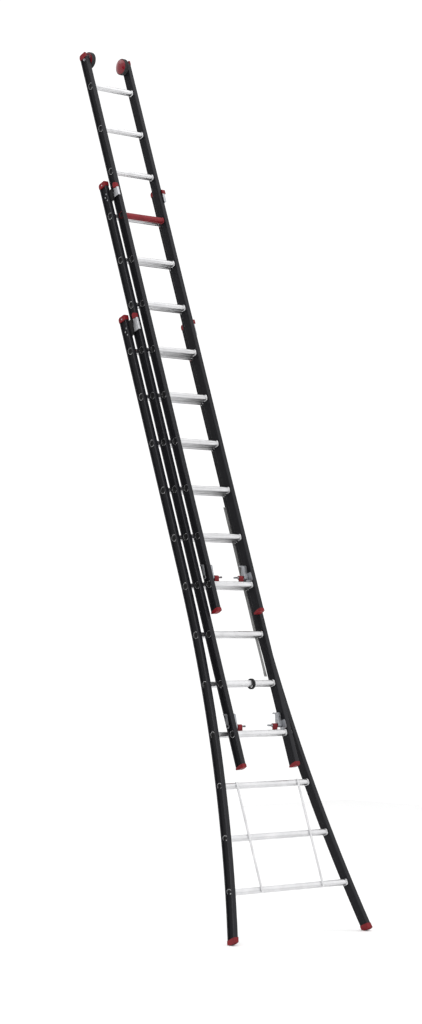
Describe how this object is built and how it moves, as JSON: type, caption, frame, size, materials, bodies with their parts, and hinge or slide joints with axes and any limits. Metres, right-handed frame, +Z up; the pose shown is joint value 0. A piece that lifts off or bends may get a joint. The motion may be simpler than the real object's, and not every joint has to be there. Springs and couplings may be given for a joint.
{
  "type": "extension ladder",
  "caption": "Leaning extension ladder of sliding sections with a flared base, hooked rung latches, guide brackets, red end caps and wall wheels at the top.",
  "frame": {"origin": "on the floor, midway between the two feet, on the line below the middle of the stiles' lower ends", "axes": "+X across the rungs to the climber's right, +Y from the climber towards the wall, +Z up; the ladder leans 20 degrees from upright towards +Y"},
  "size_m": [0.9802, 1.7442, 4.9509],
  "materials": {
    "stile_black": "satin black coating on extruded aluminium",
    "rung_silver": "brushed, lightly ribbed",
    "rung_red": "satin red coating",
    "end_red": "moulded, slightly grained",
    "guide_silver": "ribbed mill finish",
    "block_black": "moulded, fine grain",
    "latch_steel": "zinc plated",
    "latch_cast": "cast and tumbled",
    "tyre_grey": "matt, moulded",
    "hub_red": "polished dome",
    "webbing": "woven polyester webbing"
  },
  "bodies": {
    "base_section": {"base_rung_01": "rung_silver", "base_rung_02": "rung_silver", "base_rung_03": "rung_silver", "base_rung_04": "rung_silver", "base_rung_05": "rung_silver", "base_rung_06": "rung_silver", "base_rungs_upper": "rung_silver", "base_stile_left": "stile_black", "base_foot_left": "end_red", "base_cap_left": "end_red", "base_guide_left": "guide_silver", "runner_bar_left": "guide_silver", "base_stile_right": "stile_black", "base_foot_right": "end_red", "base_cap_right": "end_red", "base_guide_right": "guide_silver", "runner_bar_right": "guide_silver", "base_guide_tips": "end_red", "base_collars": "end_red", "base_guide_blocks": "block_black", "base_rivets": "latch_steel"},
    "middle_section": {"middle_rungs": "rung_silver", "middle_stile_left": "stile_black", "middle_cap_left": "end_red", "middle_shoe_left": "end_red", "middle_guide_left": "guide_silver", "spreader_strap_left": "webbing", "middle_stile_right": "stile_black", "middle_cap_right": "end_red", "middle_shoe_right": "end_red", "middle_guide_right": "guide_silver", "spreader_strap_right": "webbing", "middle_guide_tips": "end_red", "middle_collars": "end_red", "middle_guide_blocks": "block_black", "clip_ring": "block_black", "middle_rivets": "latch_steel", "middle_latch_plates": "latch_steel"},
    "upper_section": {"upper_rungs": "rung_silver", "marker_rung": "rung_red", "upper_stile_left": "stile_black", "upper_cap_left": "end_red", "upper_stile_right": "stile_black", "upper_cap_right": "end_red", "upper_shoes": "end_red", "upper_latch_plates": "latch_steel", "wheel_axles": "latch_steel"},
    "middle_latch_left": {"middle_latch_left": "latch_cast", "middle_lever_left": "end_red"},
    "middle_latch_right": {"middle_latch_right": "latch_cast", "middle_lever_right": "end_red"},
    "upper_latch_left": {"upper_latch_left": "latch_cast", "upper_lever_left": "end_red"},
    "upper_latch_right": {"upper_latch_right": "latch_cast", "upper_lever_right": "end_red"},
    "wheel_left": {"wheel_tyre_left": "tyre_grey", "wheel_hub_left": "hub_red"},
    "wheel_right": {"wheel_tyre_right": "tyre_grey", "wheel_hub_right": "hub_red"}
  },
  "joints": [
    {"name": "middle_slide", "type": "slide", "parent": "base_section", "child": "middle_section", "axis": [0, 0.342, 0.9397], "range_m": [-0.84, 1.4]},
    {"name": "upper_slide", "type": "slide", "parent": "middle_section", "child": "upper_section", "axis": [0, 0.342, 0.9397], "range_m": [-0.84, 1.4]},
    {"name": "middle_latch_left_hinge", "type": "hinge", "parent": "middle_section", "child": "middle_latch_left", "pos_m": [0, 0.35206, 1.08715], "axis": [1, 0, 0], "range_deg": [-110, 0]},
    {"name": "middle_latch_right_hinge", "type": "hinge", "parent": "middle_section", "child": "middle_latch_right", "pos_m": [0, 0.35206, 1.08715], "axis": [1, 0, 0], "range_deg": [-110, 0]},
    {"name": "upper_latch_left_hinge", "type": "hinge", "parent": "upper_section", "child": "upper_latch_left", "pos_m": [0, 0.58476, 1.88146], "axis": [1, 0, 0], "range_deg": [-110, 0]},
    {"name": "upper_latch_right_hinge", "type": "hinge", "parent": "upper_section", "child": "upper_latch_right", "pos_m": [0, 0.58476, 1.88146], "axis": [1, 0, 0], "range_deg": [-110, 0]},
    {"name": "wheel_left_spin", "type": "hinge", "parent": "upper_section", "child": "wheel_left", "pos_m": [0, 1.67172, 4.90292], "axis": [1, 0, 0], "continuous": true},
    {"name": "wheel_right_spin", "type": "hinge", "parent": "upper_section", "child": "wheel_right", "pos_m": [0, 1.67172, 4.90292], "axis": [1, 0, 0], "continuous": true}
  ]
}
